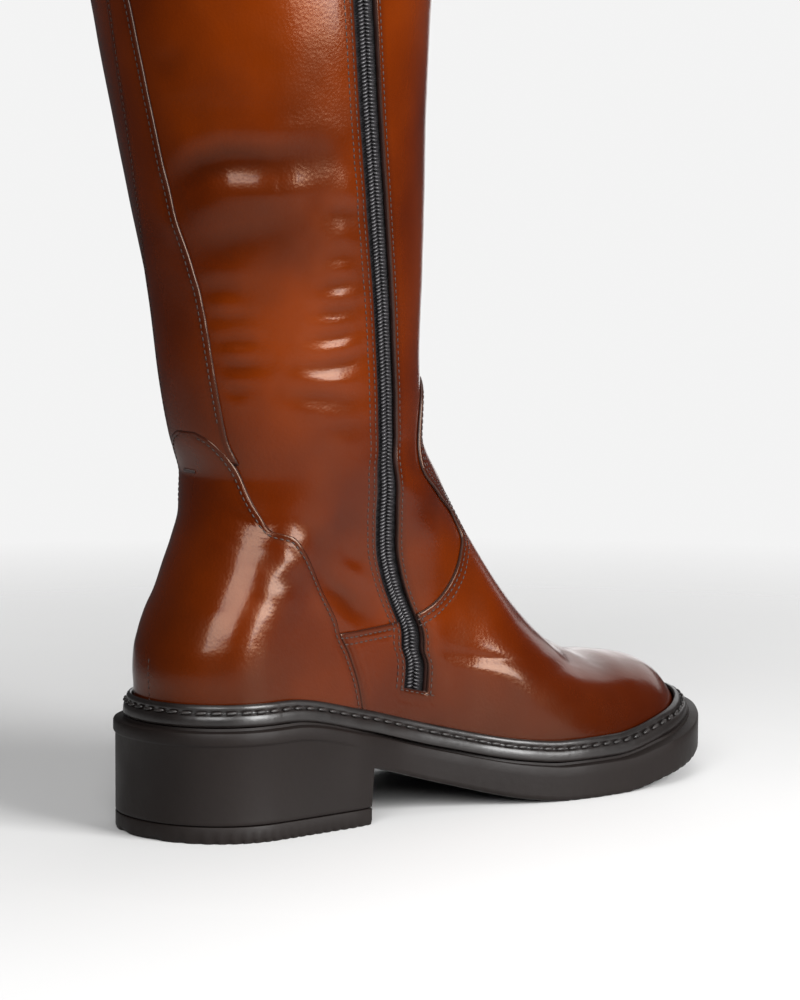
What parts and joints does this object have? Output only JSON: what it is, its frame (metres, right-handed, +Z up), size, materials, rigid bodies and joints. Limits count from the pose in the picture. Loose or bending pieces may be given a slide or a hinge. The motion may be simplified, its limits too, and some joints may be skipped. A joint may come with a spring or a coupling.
{
  "type": "knee-high boot",
  "caption": "Knee-high leather boot for a left foot with block heel, welted rubber sole and full-length zip on the inner side.",
  "frame": {"origin": "centre of the boot's footprint box, on the floor", "axes": "+Z up the shaft, toe to -Y, +X to the outer side of the left foot"},
  "size_m": [0.1235, 0.2868, 0.4257],
  "materials": {
    "sole_rubber": "satin",
    "lift_rubber": "satin",
    "welt": "satin",
    "lining": "matte",
    "leather": "polished",
    "zip_textile": "matte",
    "zip_chain": "satin",
    "zip_metal": "dark"
  },
  "bodies": {
    "boot": {"outsole": "sole_rubber", "heel_lift": "lift_rubber", "welt": "welt", "insole": "lining", "upper": "leather", "vamp": "leather", "heel_counter": "leather", "back_strip": "leather", "zip_tape": "zip_textile", "zip_teeth": "zip_chain", "zip_slider": "zip_metal"},
    "pull": {"zip_pull": "zip_metal"}
  },
  "joints": [
    {"name": "pull_hinge", "type": "hinge", "parent": "boot", "child": "pull", "pos_m": [-0.0596, 0.06827, 0.4028], "axis": [-0.0257, 0.9996, 0.0117], "range_deg": [0, 165]}
  ]
}
